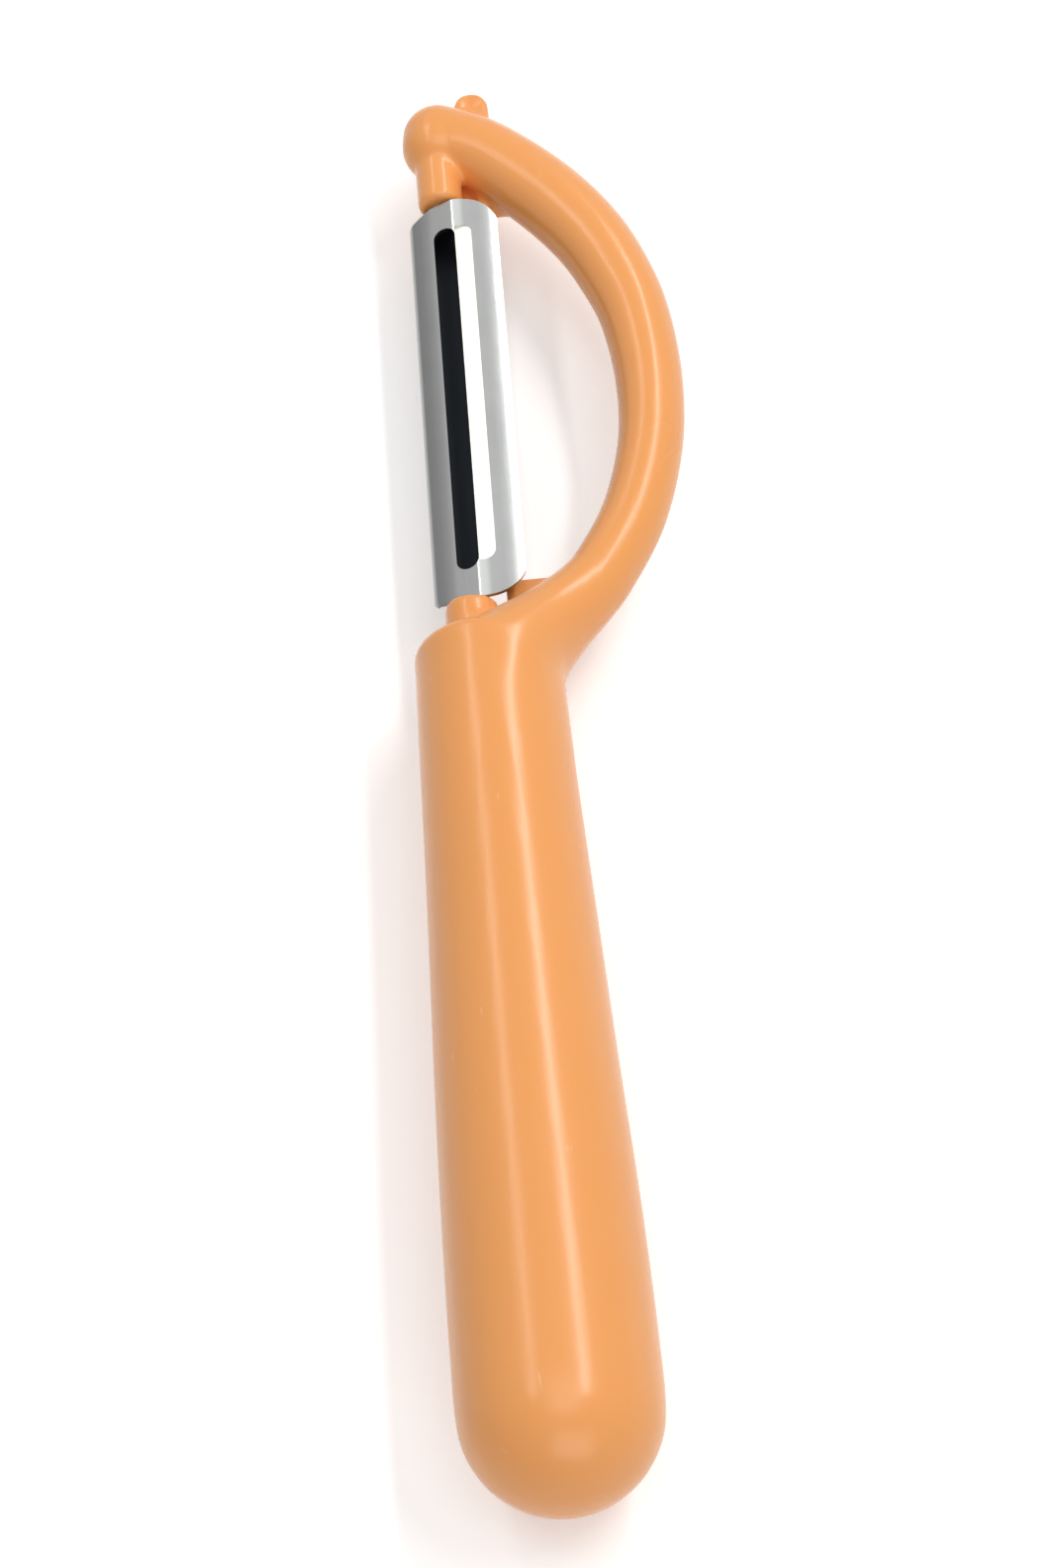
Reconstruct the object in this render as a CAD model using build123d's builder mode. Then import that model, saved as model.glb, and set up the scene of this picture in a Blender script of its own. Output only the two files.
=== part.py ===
import os
from math import acos, asin, cos, degrees, sin, sqrt

from build123d import *

# Swivel peeler with a straight handle and a bow arm at its side.
# X points to the arm, Y from the butt to the head, Z out of the blade's front.
# The origin is the centre of the whole peeler's box, on the mould's parting plane.

# Overall size
overall_length = 200.0
overall_width = 39.9

# Handle
handle_length = 110.4
butt_width = 23.4
neck_width = 18.2
shoulder_round = 2.0
shoulder_drop = 2.2

# Bow arm
head_drop = 6.1
foot_shift = 13.42
foot_height = 8.9
root_bend_radius = 18.8
root_inset = 0.5
arm_root_width = 9.6
arm_root_depth = 13.5
arm_foot_width = 8.0
arm_foot_depth = 9.0
arm_width = 8.7
arm_depth = 8.9
head_diameter = 9.5
head_cap_length = 4.6
head_shift = 0.5
root_blend = 2.5
stations = 10
quarter = 90

# Bosses and pivot pins
pivot_offset = 1.35
boss_height = 6.4
boss_base_diameter = 6.3
boss_end_diameter = 5.8
boss_edge = 0.5
pin_diameter = 1.6
pin_seat_depth = 5.0
pin_reach = 1.9
pin_chamfer = 0.2
pin_running_clearance = 0.05

# Blade, as a section of bent sheet round the pivot axis
head_boss_height = 12.9
blade_end_gap = 0.4
sheet = 0.6
crest_height = 2.0
crest_start = 1.35
wing_bend = 5.3
wing_reach = 6.85
wing_edge_height = 0.55
wing_bend_radius = 4.2
crest_bend_radius = 0.9
crease_reach = 1.6
crease_height = 0.83
crease_radius = 0.35
guard_reach = 4.4
guard_height = 1.4
guard_bend_radius = 1.1
back_depth = 2.9
back_bend_radius = 0.9
back_reach = 3.2
end_crown_radius = 17.0
end_crown_shift = 2.2
wing_corner_radius = 3.4
guard_corner_radius = 1.8
back_corner_radius = 1.2
slot_width = 2.87
slot_end_margin = 4.5
slot_shift = 0.03
bevel_reach = 3.6
bevel_edge = 0.12
bevel_end_margin = 0.9
ear_width = 3.6
ear_inset = 0.5

# Stop rib, head web and tongue
rib_left = 4.1
rib_front = 1.5
rib_depth = 2.5
rib_height = 11.2
rib_round = 0.5
web_left = 5.5
web_gap = 0.6
tongue_shift = 5.4
tongue_width = 4.7
tongue_depth = 2.6
tongue_length = 12.0
tongue_bevel = 0.6
tongue_hollow = 0.5
tongue_hollow_radius = 3.6

# Places worked out from the sizes
handle_x = -overall_width / 2 + butt_width / 2
butt_y = -overall_length / 2
handle_top = butt_y + handle_length
belly_y = butt_y + butt_width / 2
neck_y = handle_top - shoulder_drop
pivot_x = handle_x - pivot_offset
head_x = pivot_x + head_shift
head_y = overall_length / 2 - head_drop
lower_face = handle_top + boss_height
upper_face = head_y - head_boss_height
blade_low = lower_face + blade_end_gap
blade_high = upper_face - blade_end_gap
blade_length = blade_high - blade_low
blade_middle = (blade_low + blade_high) / 2
slot_length = blade_length - 2 * slot_end_margin
slot_x = pivot_x - slot_shift
bevel_low = blade_middle - slot_length / 2 + bevel_end_margin
bevel_high = blade_middle + slot_length / 2
dish_z = tongue_depth / 2 + tongue_hollow_radius - tongue_hollow
pivot_axis = Axis((pivot_x, 0, 0), (0, 1, 0))

# The bow is the one arc that passes its foot and the head and reaches the full width between them
foot = Vector(handle_x + foot_shift, handle_top + foot_height)
apex_x = overall_width / 2 - arm_width / 2
foot_reach = apex_x - foot.X
head_reach = apex_x - head_x
rise = head_y - foot.Y
corner = sqrt(foot_reach * head_reach * (rise**2 + (head_reach - foot_reach) ** 2))
foot_to_apex = (corner - foot_reach * rise) / (head_reach - foot_reach)
bow_radius = (foot_to_apex**2 / foot_reach + foot_reach) / 2
bow_centre = Vector(apex_x - bow_radius, foot.Y + foot_to_apex)
foot_turn = asin(foot_to_apex / bow_radius)
head_turn = acos(1 - head_reach / bow_radius)

# The arm's root starts upright inside the handle and bends over to meet the bow's foot
root_x = handle_x + neck_width / 2 - root_inset - arm_root_width / 2
root_straight = (foot.X - root_x - root_bend_radius * (1 - cos(foot_turn))) / sin(foot_turn)
bend_end = foot - Vector(sin(foot_turn), cos(foot_turn)) * root_straight
root = Vector(root_x, bend_end.Y - root_bend_radius * sin(foot_turn))


def bow_x_at(y):
    """The arm's centre line at this height, on the arc's right side."""
    return bow_centre.X + sqrt(bow_radius**2 - (y - bow_centre.Y) ** 2)


def bow_y_at(x):
    """The arm's centre line at this place across, on the arc's upper side."""
    return bow_centre.Y + sqrt(bow_radius**2 - (x - bow_centre.X) ** 2)


# The tongue at the head digs out eyes: a rounded plate with a shallow dish in its front
with BuildPart() as tongue_form:
    tongue_x = pivot_x + tongue_shift
    with BuildSketch(Plane.XY.offset(-tongue_depth / 2)):
        with Locations((tongue_x, overall_length / 2 - tongue_length / 2)):
            SlotOverall(tongue_length, tongue_width, rotation=90)
    extrude(amount=tongue_depth)
    chamfer(edges().group_by(Axis.Z)[0] + edges().group_by(Axis.Z)[-1], tongue_bevel)
    with Locations((tongue_x, overall_length / 2 - tongue_width / 2, dish_z)):
        Sphere(tongue_hollow_radius, mode=Mode.SUBTRACT)

# One moulded piece: handle, bow arm, head, bosses, stop rib, web and tongue
with BuildPart() as handle_and_bow:
    # The handle is a turned form: a round butt, a long taper and a rounded shoulder
    with BuildSketch(Plane.XY):
        with BuildLine():
            butt = (handle_x, butt_y)
            belly = (handle_x - butt_width / 2, belly_y)
            neck = (handle_x - neck_width / 2, neck_y)
            shoulder_x = handle_x - neck_width / 2 + shoulder_round
            axis_top = (handle_x, handle_top)
            CenterArc((handle_x, belly_y), butt_width / 2, 2 * quarter, quarter)
            Line(belly, neck)
            EllipticalCenterArc(
                (shoulder_x, neck_y),
                shoulder_round,
                shoulder_drop,
                start_angle=quarter,
                arc_size=quarter,
            )
            Line((shoulder_x, handle_top), axis_top)
            Line(axis_top, butt)
        make_face()
    revolve(axis=Axis((handle_x, 0, 0), (0, 1, 0)))

    # The arm rises out of the handle's side, rounds one wide arc and thickens to the head
    with BuildLine() as bow_path:
        JernArc(root, (0, 1), root_bend_radius, -degrees(foot_turn))
        Line(bend_end, foot)
        bow_arc = CenterArc(bow_centre, bow_radius, -degrees(foot_turn), degrees(foot_turn + head_turn))
    centre_line = bow_path.wire()
    foot_share = 1 - bow_arc.length / centre_line.length
    apex_share = 1 - head_turn * bow_radius / centre_line.length
    for step in range(stations + 1):
        share = step / stations
        taper = min(share / foot_share, 1)
        ease = taper**2 * (3 - 2 * taper)
        swell = max(share - apex_share, 0) / (1 - apex_share)
        firm = min(max(share - foot_share, 0) / (apex_share - foot_share), 1)
        width = arm_root_width + (arm_foot_width - arm_root_width) * ease
        width += (arm_width - arm_foot_width) * firm + (head_diameter - arm_width) * swell
        depth = arm_root_depth + (arm_foot_depth - arm_root_depth) * ease
        depth += (arm_depth - arm_foot_depth) * firm + (head_diameter - arm_depth) * swell
        with BuildSketch(Plane(origin=centre_line @ share, x_dir=(0, 0, 1), z_dir=centre_line % share)):
            with BuildLine():
                for turn in range(4):
                    EllipticalCenterArc(
                        (0, 0),
                        depth / 2,
                        width / 2,
                        start_angle=turn * quarter,
                        arc_size=quarter,
                    )
            make_face()
    loft()
    fillet(edges(Select.NEW), root_blend)
    head_radius = head_diameter / 2
    with BuildSketch(Plane(origin=bow_arc @ 1, x_dir=bow_arc % 1, z_dir=(0, 0, 1))):
        with BuildLine():
            EllipticalCenterArc((0, 0), head_cap_length, head_radius, start_angle=0, arc_size=quarter)
            Line((0, head_radius), (0, 0))
            Line((0, 0), (head_cap_length, 0))
        make_face()
    revolve(axis=Axis(bow_arc @ 1, bow_arc % 1))

    # Round bosses carry the blade between them, one on the handle and one under the head
    for boss_foot, boss_face in [(handle_top, lower_face), (head_y, upper_face)]:
        with BuildSketch(Plane.XY) as boss_half:
            with BuildLine():
                Polyline(
                    (pivot_x, boss_foot),
                    (pivot_x + boss_base_diameter / 2, boss_foot),
                    (pivot_x + boss_end_diameter / 2, boss_face),
                    (pivot_x, boss_face),
                    close=True,
                )
            make_face()
            rim = boss_half.vertices().sort_by_distance((pivot_x + boss_end_diameter / 2, boss_face))[0]
            chamfer(rim, boss_edge)
        revolve(axis=pivot_axis)

    # The stop rib stands on the handle beside the lower boss, the web hangs from the arm by the upper one
    with BuildSketch(Plane.XY.offset(-rib_front)) as rib_outline:
        with BuildLine():
            rib_top = handle_top + rib_height
            Polyline(
                (pivot_x + rib_left, handle_top - rib_round),
                (pivot_x + rib_left, rib_top),
                (bow_x_at(rib_top), rib_top),
                foot,
                bend_end,
                (bend_end.X, handle_top - rib_round),
                close=True,
            )
        make_face()
        fillet(rib_outline.vertices().sort_by_distance((pivot_x + rib_left, rib_top))[0], rib_round)
    extrude(amount=-rib_depth)
    with BuildSketch(Plane.XY.offset(-rib_front)) as web_outline:
        with BuildLine():
            web_low = blade_high + web_gap
            Polyline(
                (pivot_x + web_left, web_low),
                (pivot_x + web_left, bow_y_at(pivot_x + web_left)),
                (bow_x_at(web_low), web_low),
                close=True,
            )
        make_face()
        fillet(web_outline.vertices().sort_by_distance((pivot_x + web_left, web_low))[0], rib_round)
    extrude(amount=-rib_depth)

    # The tongue joins the head
    add(tongue_form.part)

    # Blind holes in both bosses take the pins
    for hole_mouth, hole_way in [(lower_face, 1), (upper_face, -1)]:
        with BuildSketch(Plane(origin=(pivot_x, hole_mouth, 0), z_dir=(0, hole_way, 0))):
            Circle(pin_diameter / 2)
        extrude(amount=-pin_seat_depth, mode=Mode.SUBTRACT)

# One strip of steel, bent lengthwise round the pivot axis, with a slot to peel through
with BuildPart() as swivel_blade:
    section_plane = Plane(origin=(pivot_x, blade_low, 0), x_dir=(1, 0, 0), z_dir=(0, -1, 0))
    with BuildSketch(section_plane):
        with BuildLine():
            bends = [
                (wing_reach, wing_edge_height),
                (wing_bend, crest_height),
                (crest_start, crest_height),
                (-crease_reach, crease_height),
                (-guard_reach, -guard_height),
                (-guard_reach, -back_depth),
                (back_reach, -back_depth),
            ]
            front_radii = [wing_bend_radius, crest_bend_radius, crease_radius]
            bend_radii = front_radii + [guard_bend_radius, back_bend_radius]
            strip_middle = FilletPolyline(*bends, radius=bend_radii)
        trace(strip_middle, line_width=sheet)
    extrude(amount=-blade_length)

    # An ear closes the strip near each end and carries the pin
    with BuildSketch(section_plane.offset(-ear_inset)) as ear_outline:
        with BuildLine():
            Polyline(
                (-ear_width / 2, -back_depth),
                (ear_width / 2, -back_depth),
                (ear_width / 2, crest_height),
                (crest_start, crest_height),
                (-crease_reach, crease_height),
                (-ear_width / 2, crease_height - sheet / 2),
                close=True,
            )
        make_face()
        Circle(pin_diameter / 2 + pin_running_clearance, mode=Mode.SUBTRACT)
    extrude(amount=-sheet)
    extrude(ear_outline.sketch.moved(Location((0, blade_length - 2 * ear_inset - sheet, 0))), amount=-sheet)

    # Both ends are crowned and every corner is rounded
    with BuildSketch(Plane.XY.offset(-blade_length / 2)) as front_outline:
        with BuildLine():
            crown_x = pivot_x + end_crown_shift
            guard_x = pivot_x - guard_reach - sheet
            wing_x = pivot_x + wing_reach + sheet / 2
            guard_drop = end_crown_radius - sqrt(end_crown_radius**2 - (guard_x - crown_x) ** 2)
            wing_drop = end_crown_radius - sqrt(end_crown_radius**2 - (wing_x - crown_x) ** 2)
            guard_high = (guard_x, blade_high - guard_drop)
            wing_high = (wing_x, blade_high - wing_drop)
            guard_low = (guard_x, blade_low + guard_drop)
            wing_low = (wing_x, blade_low + wing_drop)
            ThreePointArc(guard_high, (crown_x, blade_high), wing_high)
            Line(wing_high, wing_low)
            ThreePointArc(wing_low, (crown_x, blade_low), guard_low)
            Line(guard_low, guard_high)
        make_face()
        fillet(front_outline.vertices().group_by(Axis.X)[-1], wing_corner_radius)
        fillet(front_outline.vertices().group_by(Axis.X)[0], guard_corner_radius)
    extrude(amount=blade_length, mode=Mode.INTERSECT)
    upright_edges = edges().filter_by(Axis.Z)
    back_edges = upright_edges.filter_by_position(Axis.Z, -back_depth - sheet, -back_depth + sheet)
    fillet(back_edges, back_corner_radius)

    # The slot runs through the front of the strip, and one rim is ground to an edge
    with BuildSketch(Plane.XY):
        with Locations((slot_x, blade_middle)):
            SlotOverall(slot_length, slot_width, rotation=90)
    extrude(amount=crest_height + sheet, mode=Mode.SUBTRACT)
    with BuildSketch(Plane(origin=(pivot_x, bevel_low, 0), x_dir=(1, 0, 0), z_dir=(0, -1, 0))):
        with BuildLine():
            rim_reach = slot_x + slot_width / 2 - pivot_x
            Polyline(
                (bevel_reach, crest_height + sheet / 2),
                (rim_reach, crest_height - sheet / 2 + bevel_edge),
                (rim_reach, crest_height + sheet),
                (bevel_reach, crest_height + sheet),
                close=True,
            )
        make_face()
    extrude(amount=bevel_low - bevel_high, mode=Mode.SUBTRACT)

# Steel pins, driven into the bosses
with BuildPart() as handle_pivot_pin:
    with BuildSketch(Plane(origin=(pivot_x, lower_face - pin_seat_depth, 0), z_dir=(0, 1, 0))):
        Circle(pin_diameter / 2)
    extrude(amount=pin_seat_depth + pin_reach)
    chamfer(edges().filter_by(GeomType.CIRCLE).sort_by(Axis.Y)[-1], pin_chamfer)
with BuildPart() as head_pivot_pin:
    with BuildSketch(Plane(origin=(pivot_x, upper_face + pin_seat_depth, 0), z_dir=(0, -1, 0))):
        Circle(pin_diameter / 2)
    extrude(amount=pin_seat_depth + pin_reach)
    chamfer(edges().filter_by(GeomType.CIRCLE).sort_by(Axis.Y)[0], pin_chamfer)

os.makedirs("parts", exist_ok=True)
handle_and_bow.part.label = "handle_and_bow"
swivel_blade.part.label = "swivel_blade"
handle_pivot_pin.part.label = "handle_pivot_pin"
head_pivot_pin.part.label = "head_pivot_pin"
export_step(handle_and_bow.part, "parts/handle_and_bow.step")
export_step(swivel_blade.part, "parts/swivel_blade.step")
export_step(handle_pivot_pin.part, "parts/handle_pivot_pin.step")
export_step(head_pivot_pin.part, "parts/head_pivot_pin.step")
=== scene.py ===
"""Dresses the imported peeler: moulded body, steel blade, pivot pins and a plain studio."""

import math

import bmesh
import bpy
from bpy.props import FloatProperty, FloatVectorProperty, IntProperty, PointerProperty
from bpy.types import NodeSocket, Operator, Panel, PropertyGroup
from mathutils import Matrix, Vector


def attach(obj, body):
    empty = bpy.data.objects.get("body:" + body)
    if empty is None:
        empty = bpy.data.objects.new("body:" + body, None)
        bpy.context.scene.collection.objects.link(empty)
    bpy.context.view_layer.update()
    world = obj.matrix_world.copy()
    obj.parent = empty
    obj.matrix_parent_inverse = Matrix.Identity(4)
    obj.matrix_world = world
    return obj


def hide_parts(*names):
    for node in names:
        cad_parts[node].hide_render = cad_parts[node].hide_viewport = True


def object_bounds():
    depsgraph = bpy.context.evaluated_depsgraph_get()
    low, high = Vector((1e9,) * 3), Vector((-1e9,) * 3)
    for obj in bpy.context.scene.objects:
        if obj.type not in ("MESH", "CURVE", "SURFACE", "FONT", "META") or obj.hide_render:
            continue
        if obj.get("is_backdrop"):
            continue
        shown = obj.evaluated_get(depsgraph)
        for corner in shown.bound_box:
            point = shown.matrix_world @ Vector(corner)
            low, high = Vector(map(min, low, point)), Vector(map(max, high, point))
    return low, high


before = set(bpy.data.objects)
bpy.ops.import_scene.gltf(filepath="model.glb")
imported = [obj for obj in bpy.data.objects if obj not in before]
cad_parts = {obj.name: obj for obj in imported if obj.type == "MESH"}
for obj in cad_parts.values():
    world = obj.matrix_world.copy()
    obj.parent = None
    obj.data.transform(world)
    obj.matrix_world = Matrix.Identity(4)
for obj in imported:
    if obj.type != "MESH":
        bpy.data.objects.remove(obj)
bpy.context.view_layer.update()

bl_info = {
    "name": "Swivel Peeler",
    "version": (1, 0, 0),
    "blender": (4, 5, 0),
    "location": "3D Viewport > Sidebar > Peeler",
    "description": "Dresses a packed swivel peeler and sets up its studio",
    "category": "Object",
}

MM = 0.001

# The handle's taper: place across and along the tool and radius, in mm
TAPER = [
    (-7.92, -88.3, 11.6),
    (-7.95, -81.0, 11.63),
    (-8.0, -74.0, 11.56),
    (-8.1, -63.0, 11.31),
    (-8.28, -48.0, 10.79),
    (-8.38, -27.0, 10.05),
    (-8.5, -10.8, 9.55),
    (-8.5, 2.0, 9.27),
    (-8.5, 6.5, 9.15),
]

# The arm's middle line: place across and along the tool, half width and half depth, in mm
ARM = [
    (-8.45, -22.0, 9.6, 9.6),
    (-8.4, -6.0, 9.2, 9.25),
    (-8.1, 1.0, 8.85, 9.2),
    (-6.75, 6.0, 8.0, 9.1),
    (-4.45, 9.25, 6.7, 8.5),
    (-1.95, 11.75, 5.5, 7.3),
    (1.15, 14.5, 4.75, 5.9),
    (4.3, 17.4, 4.35, 5.0),
    (7.0, 20.7, 4.2, 4.6),
    (11.5, 28.7, 4.17, 4.45),
    (14.6, 39.1, 4.2, 4.45),
    (15.5, 49.5, 4.37, 4.5),
    (14.65, 60.0, 4.6, 4.6),
    (12.6, 67.5, 4.87, 4.8),
    (9.8, 74.0, 5.03, 4.95),
    (5.8, 80.1, 5.13, 5.05),
    (1.0, 85.6, 5.1, 5.0),
    (-4.2, 90.3, 4.95, 4.9),
    (-9.1, 93.0, 4.75, 4.75),
]

# Corners of the stop rib, the web by the head and the thin wall beside it, in mm
RIB = [(-5.5, 8.5), (-5.5, 21.7), (7.6, 21.7), (2.3, 15.6), (-1.9, 8.5)]
WEB = [(-4.5, 81.5), (-4.5, 90.0), (1.0, 85.6), (4.9, 81.5)]
WALL = [(-9.0, 81.8), (-9.0, 92.0), (1.0, 85.6), (-3.5, 81.8)]

# How deep the bosses start inside the handle and the head, and the widths of their soft rims, in mm
BOSS_SUNK = 2.0
LOW_BOSS_RIM = 0.25
HIGH_BOSS_RIM = 0.6

# Length of the tongue's straight part and width of its bevelled rims, in mm
TONGUE_STRAIGHT = 9.0
TONGUE_RIM = 0.7

# Hollow between the handle and the arm, in mm: the ends of its middle line and how far round it the
# mesh is eased. Its front and back are eased from a height on, and its side at every height, across
# from the first place and along up to the second.
HOLLOW_ENDS = [(-4.0, 0.0), (-4.5, 13.0)]
HOLLOW_REACH = 8.0
HOLLOW_HEIGHT = 3.0
HOLLOW_SIDE = (-1.5, 8.0)

# Angles in degrees of the stations on rounded ends, on the bosses' rims and on the handle's shoulder
END_ANGLES = (20, 40, 58, 72, 82, 88)
RIM_ANGLES = (30, 50, 70, 90)
SHOULDER_ANGLES = (0, 22, 45, 68, 90)

# Numbers of steps on a half circle, a bend of the strip, a rounded corner and a crowned end, and the
# number of a bore's sides
ARC_STEPS = 24
BEND_STEPS = 14
CORNER_STEPS = 16
CROWN_STEPS = 24
BORE_SIDES = 36

# Middle line of the bent strip, from the wing round to the rear wall, in mm from the pivot, and the
# radius of each bend
SECTION = [(7.1, 1.64), (5.3, 2.0), (1.35, 2.0), (-1.6, 0.83), (-4.4, -1.4), (-4.4, -2.9), (3.2, -2.9)]
BENDS = [12.0, 0.9, 0.35, 1.1, 0.9]
CREST = SECTION[2][1]

# The blade seen from the front, in mm: radius of its crowned ends and place of their centre from the
# pivot, radii of its corners, and how far its sides stand off the section's middle line
CROWN = 17.0
CROWN_SHIFT = 2.2
HIGH_WING_CORNER = 5.0
LOW_WING_CORNER = 5.2
GUARD_CORNER = 1.8
GUARD_MARGIN = 0.6
WING_MARGIN = 0.3

# The slot's place from the pivot, in mm, and the bevel ground beside it: its reach across, the edge
# that it leaves, its start past the slot's low end, its corners and its overlap with the slot
SLOT_SHIFT = -0.03
BEVEL_REACH = 3.6
BEVEL_EDGE = 0.12
BEVEL_START = 0.9
BEVEL_LOW_CORNER = 1.7
BEVEL_HIGH_CORNER = 1.2
BEVEL_OVERLAP = 1.0

# The ears that turn on the pins, in mm: half width, distance from the blade's end, radius of the bore
# and drop of the sloped side past the section's crease
EAR_HALF = 1.8
EAR_INSET = 0.5
EAR_BORE = 0.85
EAR_DROP = 0.16

# What is trimmed off the rear wall by the handle, in mm: length, half width, rear and front
TRIM_LENGTH = 4.2
TRIM_HALF = 6.0
TRIM_REAR = -5.0
TRIM_FRONT = -1.9

# How far a cutter runs past the blade's end and through its steel, in mm
END_OVERRUN = 1.0
STEEL_OVERRUN = 10.0

# Order of the blade's materials
POLISHED, SHADE_PAINTED_INSIDE, GROUND, RIM_HIGHLIGHT = range(4)

# Inside of the fold, whose faces get a near-black painted shade, in mm from the pivot: its middle, and the
# heights of its rear and its front
FOLD_MIDDLE = (0.3, 0, -0.9)
FOLD_REAR = -2.0
FOLD_FRONT = 1.72

# Cosines above which a face looks into the fold, looks along an axis and lies on the bevel
LOOKS_INWARD = 0.2
LOOKS_ALONG = 0.5
ON_BEVEL = 0.9999

# Painted light and shade in bands across the strip, standing for the reflections and shade on its bends and
# facets: place from the pivot in mm, share of the steel's colour
PAINTED_LIGHT_BANDS = [
    (-4.9, 0.70),
    (-4.5, 0.58),
    (-4.1, 0.32),
    (-3.2, 0.36),
    (-2.2, 0.46),
    (-1.7, 0.55),
    (1.0, 0.60),
    (1.4, 1.20),
    (2.2, 1.10),
    (2.8, 0.80),
    (4.6, 0.76),
    (6.6, 0.85),
]

# Brightness of the faint clouds in the steel, as a share of its colour
CLOUD_SHADE = 0.86

# The camera's aim in mm, its sensor's width in mm and its nearest sight in metres
AIM = (-4.75, -9.1, 0)
SENSOR = 36
NEAREST = 0.01

# Soft boxes: name, place, width and height in metres, and power in watts
LAMPS = [
    ("right_box", (0.36, 0.28, 0.66), 0.08, 0.80, 3.1),
    ("left_box", (-0.34, 0.30, 0.66), 0.09, 0.80, 1.2),
    ("top_box", (0.10, -0.15, 0.95), 0.60, 0.60, 1.9),
    ("front_box", (0.12, -0.75, 0.40), 0.60, 0.40, 1.4),
]

# The world's strength as light, the floor's glow, its gap under the handle in mm and half width in metres
WORLD_LIGHT = 0.2
FLOOR_GLOW = 0.35
FLOOR_GAP = 0.05
FLOOR_HALF = 3.0


def length(name, description, default):
    """A length in metres with a panel field of its own."""
    return FloatProperty(name=name, description=description, default=default, unit="LENGTH", precision=5)


def turn(name, description, degrees):
    """An angle with a panel field of its own."""
    return FloatProperty(name=name, description=description, default=math.radians(degrees), subtype="ANGLE")


def tint(name, description, default):
    """A colour with a panel field of its own."""
    return FloatVectorProperty(
        name=name, description=description, default=default, size=3, subtype="COLOR", min=0, max=1
    )


def share(name, description, default):
    """A share from 0 to 1 with a panel field of its own."""
    return FloatProperty(
        name=name, description=description, default=default, subtype="FACTOR", min=0, max=1
    )


class PeelerBodySettings(PropertyGroup):
    """Sizes and finish of the moulded body."""

    handle_top: length("Handle top", "Place of the handle's flat upper end", 10.6 * MM)
    butt_cap: length("Butt cap", "Length of the rounded butt", 11.68 * MM)
    shoulder: length("Shoulder", "Rounding of the handle's upper edge", 1.5 * MM)
    low_boss_radius: length("Lower boss radius", "Lower boss's radius before easing", 3.35 * MM)
    high_boss_radius: length("Upper boss radius", "Upper boss's radius before easing", 3.0 * MM)
    low_boss_across: length("Lower boss across", "Lower boss's place across the tool", -10.0 * MM)
    high_boss_across: length("Upper boss across", "Upper boss's place across the tool", -9.45 * MM)
    low_boss_face: length("Lower boss", "Place of the lower boss's face", 17.1 * MM)
    high_boss_face: length("Upper boss", "Place of the upper boss's face", 81.0 * MM)
    head_across: length("Head across", "Place of the head's ball across the tool", -9.15 * MM)
    head_place: length("Head", "Place of the head's ball along the tool", 91.7 * MM)
    head_radius: length("Head radius", "Radius of the head's ball", 4.85 * MM)
    plate_front: length("Plate front", "Height of the rib's and the web's front faces", -1.5 * MM)
    plate_back: length("Plate back", "Height of the rib's and the web's rear faces", -4.0 * MM)
    wall_front: length("Wall front", "Height of the thin wall's front face", -2.6 * MM)
    tongue_across: length("Tongue across", "Place of the tongue across the tool", -4.2 * MM)
    tongue_width: length("Tongue width", "Width of the tongue", 4.7 * MM)
    tongue_depth: length("Tongue depth", "Thickness of the tongue", 2.6 * MM)
    tongue_tip: length("Tongue tip", "Place of the tongue's tip along the tool", 99.95 * MM)
    dish: length("Dish", "Depth of the dish in the tongue", 0.5 * MM)
    dish_radius: length("Dish radius", "Radius of the ball that makes the dish", 3.6 * MM)
    grain: length("Grain", "Edge length of the body's even mesh", 0.405 * MM)
    ease: IntProperty(name="Ease", description="Rounds of easing on every moulded corner", default=5)
    flow: IntProperty(name="Flow", description="Rounds of easing in the arm's hollow", default=80)
    plastic: tint("Plastic", "Colour of the moulded plastic", (0.95, 0.395, 0.115))
    deep: tint("Deep plastic", "Colour of the plastic's darker flow shades", (0.84, 0.31, 0.08))
    scuff: tint("Scuffs", "Colour of the light scuffs", (1.0, 0.72, 0.45))
    roughness: share("Roughness", "Roughness of the plastic's skin", 0.24)
    seam: length("Seam", "Half width of the mould's parting line", 0.07 * MM)


class PeelerBladeSettings(PropertyGroup):
    """Sizes and finish of the bent steel blade."""

    pivot_across: length("Pivot across", "Place of the pivot axis across the tool", -9.6 * MM)
    low_end: length("Low end", "Place of the blade's end by the handle", 17.2 * MM)
    strip_length: length("Length", "Length of the blade", 63.4 * MM)
    sheet: length("Sheet", "Thickness of the steel", 0.6 * MM)
    slot_length: length("Slot length", "Length of the peeling slot", 54.4 * MM)
    slot_width: length("Slot width", "Width of the peeling slot", 2.87 * MM)
    rim_round: length("Rim", "Rounding of the sheet's rims", 0.09 * MM)
    lean: turn("Lean", "Lean of the blade on its pins", -0.65)
    steel: tint("Steel", "Colour of the polished steel", (0.62, 0.63, 0.62))
    # The rims' lighter steel is a painted highlight along the sheet's rounded edges
    rims: tint("Rims", "Colour of the bright sheared rims", (0.9, 0.9, 0.88))
    # The inside of the fold is painted near-black: painted shade standing for the shade in the fold seen
    # through the slot
    painted_inside_shade: tint("Inside", "Colour of the dull steel inside the fold", (0.02, 0.023, 0.028))
    ground: tint("Ground edge", "Colour of the ground bevel", (0.80, 0.77, 0.68))
    roughness: share("Roughness", "Roughness of the polished steel", 0.2)


class PeelerStageSettings(PropertyGroup):
    """Camera and floor."""

    height_angle: turn("Height angle", "Camera's angle above the floor", 60)
    roll: turn("Roll", "Camera's roll", 5.4)
    distance: length("Distance", "Camera's distance from its aim", 412.5 * MM)
    lens: FloatProperty(name="Lens", description="Camera's focal length in millimetres", default=78.2)
    floor: tint("Floor", "Colour of the floor", (0.9, 0.9, 0.9))


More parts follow.
